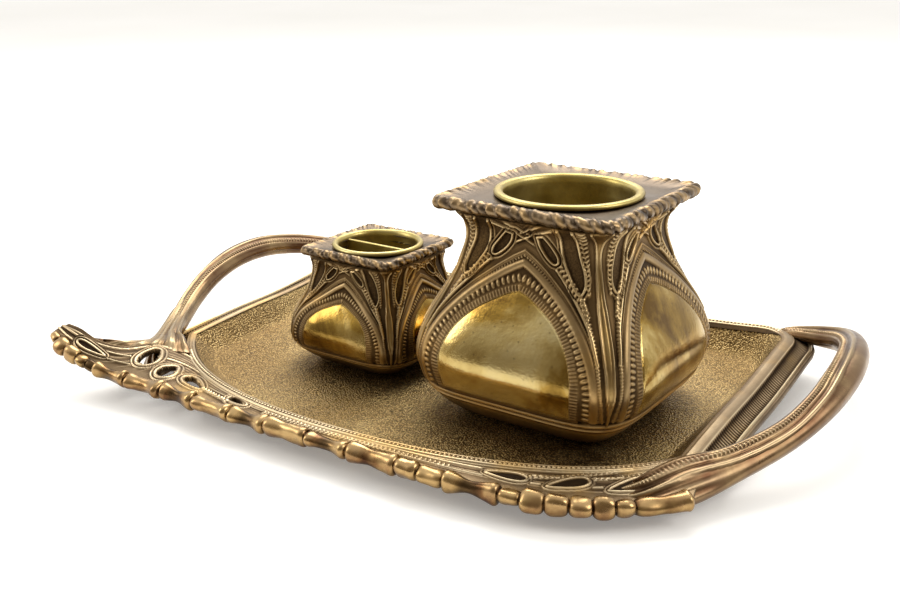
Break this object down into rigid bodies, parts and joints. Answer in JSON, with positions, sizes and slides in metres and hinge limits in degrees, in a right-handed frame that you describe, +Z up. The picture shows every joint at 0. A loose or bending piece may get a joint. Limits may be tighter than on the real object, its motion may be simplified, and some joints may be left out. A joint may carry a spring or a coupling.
{
  "type": "smoker's desk set",
  "caption": "Cast brass Art Nouveau smoker's set: a low handled tray with a pierced beaded rim, carrying a large and a small square vase jar with lift-out liners.",
  "frame": {"origin": "middle of the overall footprint, on the table plane", "axes": "+Z up, X along the tray from the small jar to the large one, the bowed front of the tray faces -Y"},
  "size_m": [0.2746, 0.166, 0.0797],
  "materials": {
    "patinated_brass": "cast relief with dark patina and rubbed high spots",
    "polished_brass": "polished, lightly aged",
    "liner_brass": "spun, satin",
    "brown_patina": "smooth brown patina",
    "screw_steel": "plain turned"
  },
  "bodies": {
    "set_body": {"tray_pan": "polished_brass", "tray_apron": "patinated_brass", "tray_handle_left": "brown_patina", "tray_handle_right": "brown_patina", "large_jar_shell": "patinated_brass", "large_jar_plate": "patinated_brass", "large_jar_base": "patinated_brass", "large_jar_panel_front": "polished_brass", "large_jar_panel_right": "polished_brass", "large_jar_panel_back": "polished_brass", "large_jar_panel_left": "polished_brass", "large_jar_screw": "screw_steel", "large_jar_nut": "screw_steel", "small_jar_shell": "patinated_brass", "small_jar_plate": "patinated_brass", "small_jar_base": "patinated_brass", "small_jar_panel_front": "polished_brass", "small_jar_panel_right": "polished_brass", "small_jar_panel_back": "polished_brass", "small_jar_panel_left": "polished_brass", "small_jar_screw": "screw_steel", "small_jar_nut": "screw_steel"},
    "large_liner_body": {"large_liner": "liner_brass"},
    "small_liner_body": {"small_liner": "liner_brass", "small_liner_divider": "liner_brass"}
  },
  "joints": [
    {"name": "large_liner_lift", "type": "slide", "parent": "set_body", "child": "large_liner_body", "axis": [0, 0, 1], "range_m": [0, 0.07]},
    {"name": "small_liner_lift", "type": "slide", "parent": "set_body", "child": "small_liner_body", "axis": [0, 0, 1], "range_m": [0, 0.045]}
  ]
}
